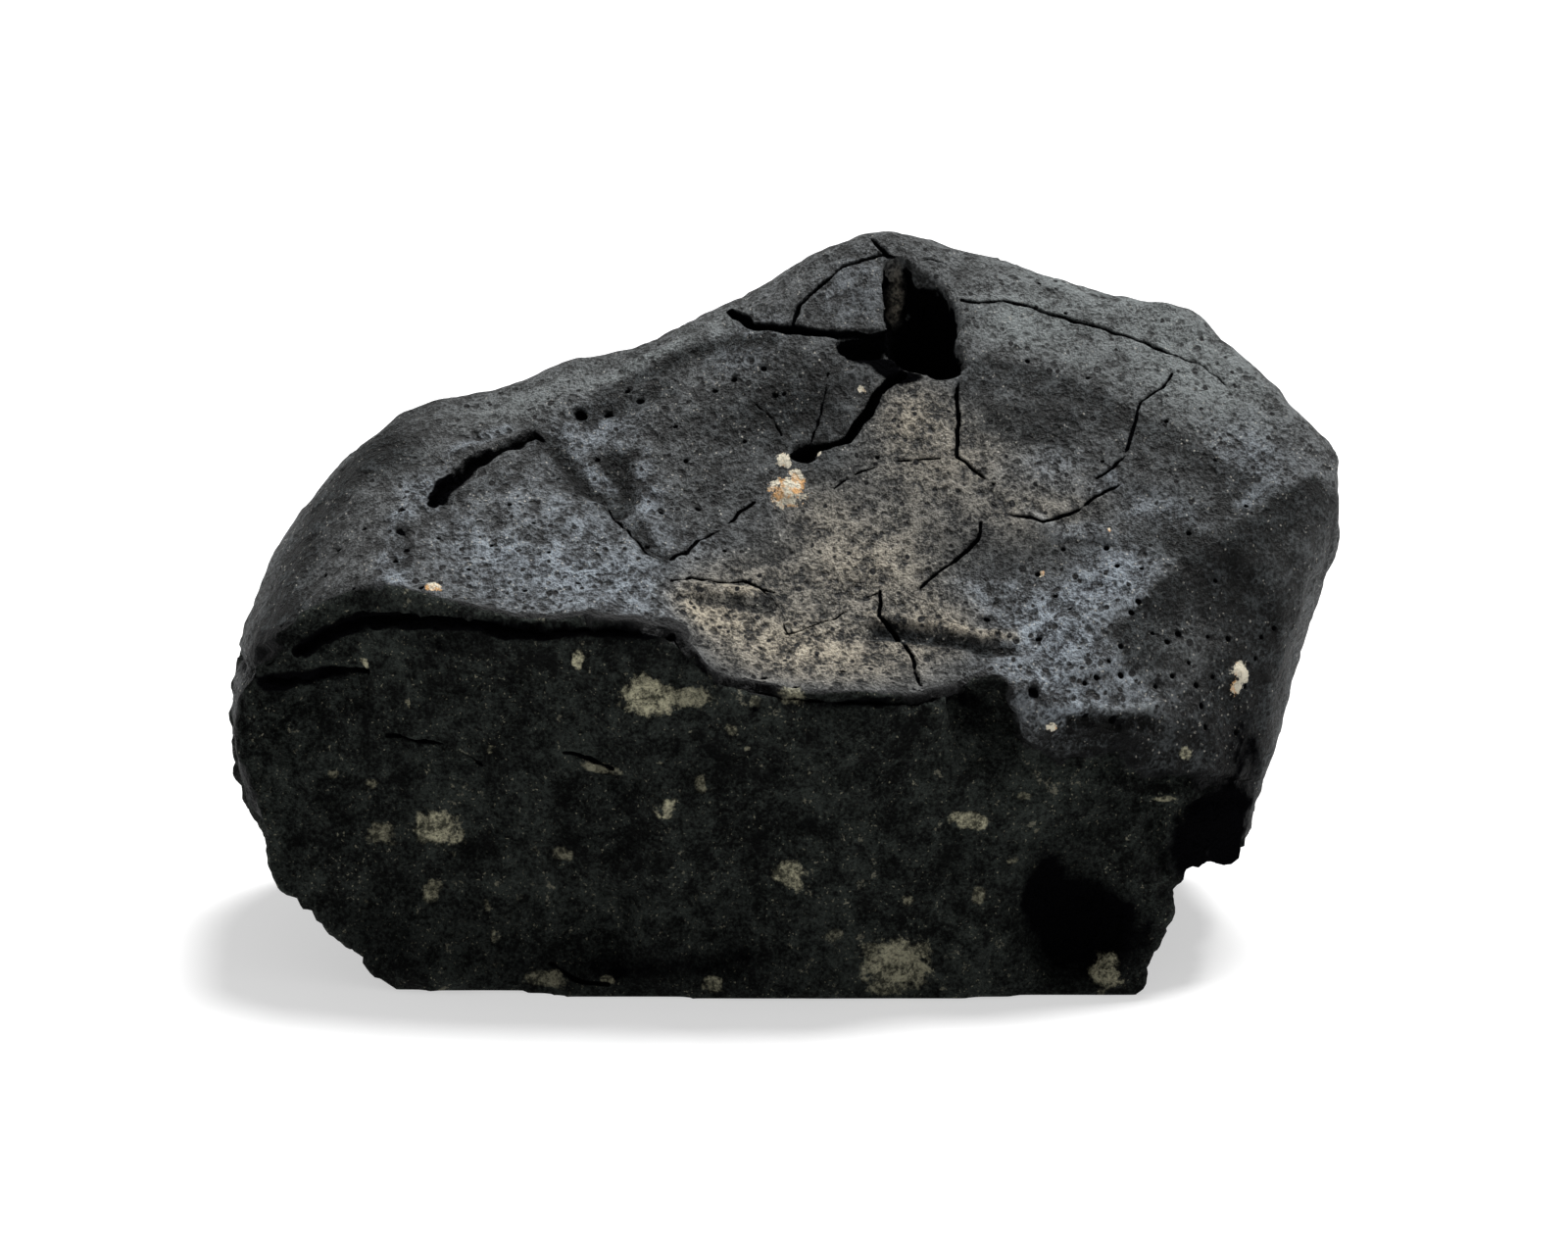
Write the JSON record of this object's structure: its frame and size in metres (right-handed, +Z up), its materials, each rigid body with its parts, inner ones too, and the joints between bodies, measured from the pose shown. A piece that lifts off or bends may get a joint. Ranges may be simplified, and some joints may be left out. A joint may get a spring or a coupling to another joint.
{
  "type": "carbonaceous chondrite meteorite",
  "caption": "Dark lump of stony meteorite with a cracked, pitted fusion crust on top, a rough broken front, a deep hole under its peak and a flat broken base to rest on.",
  "frame": {"origin": "middle of the stone's bounding box in plan, on the plane of its flat base", "axes": "+X along the stone towards its steep right end, +Y from the broken front to the crusted back, +Z up"},
  "size_m": [0.0846, 0.056, 0.0518],
  "materials": {
    "fusion_crust": "matt, dark grey to black, rough"
  },
  "bodies": {
    "root": {"stone": "fusion_crust"}
  },
  "joints": []
}
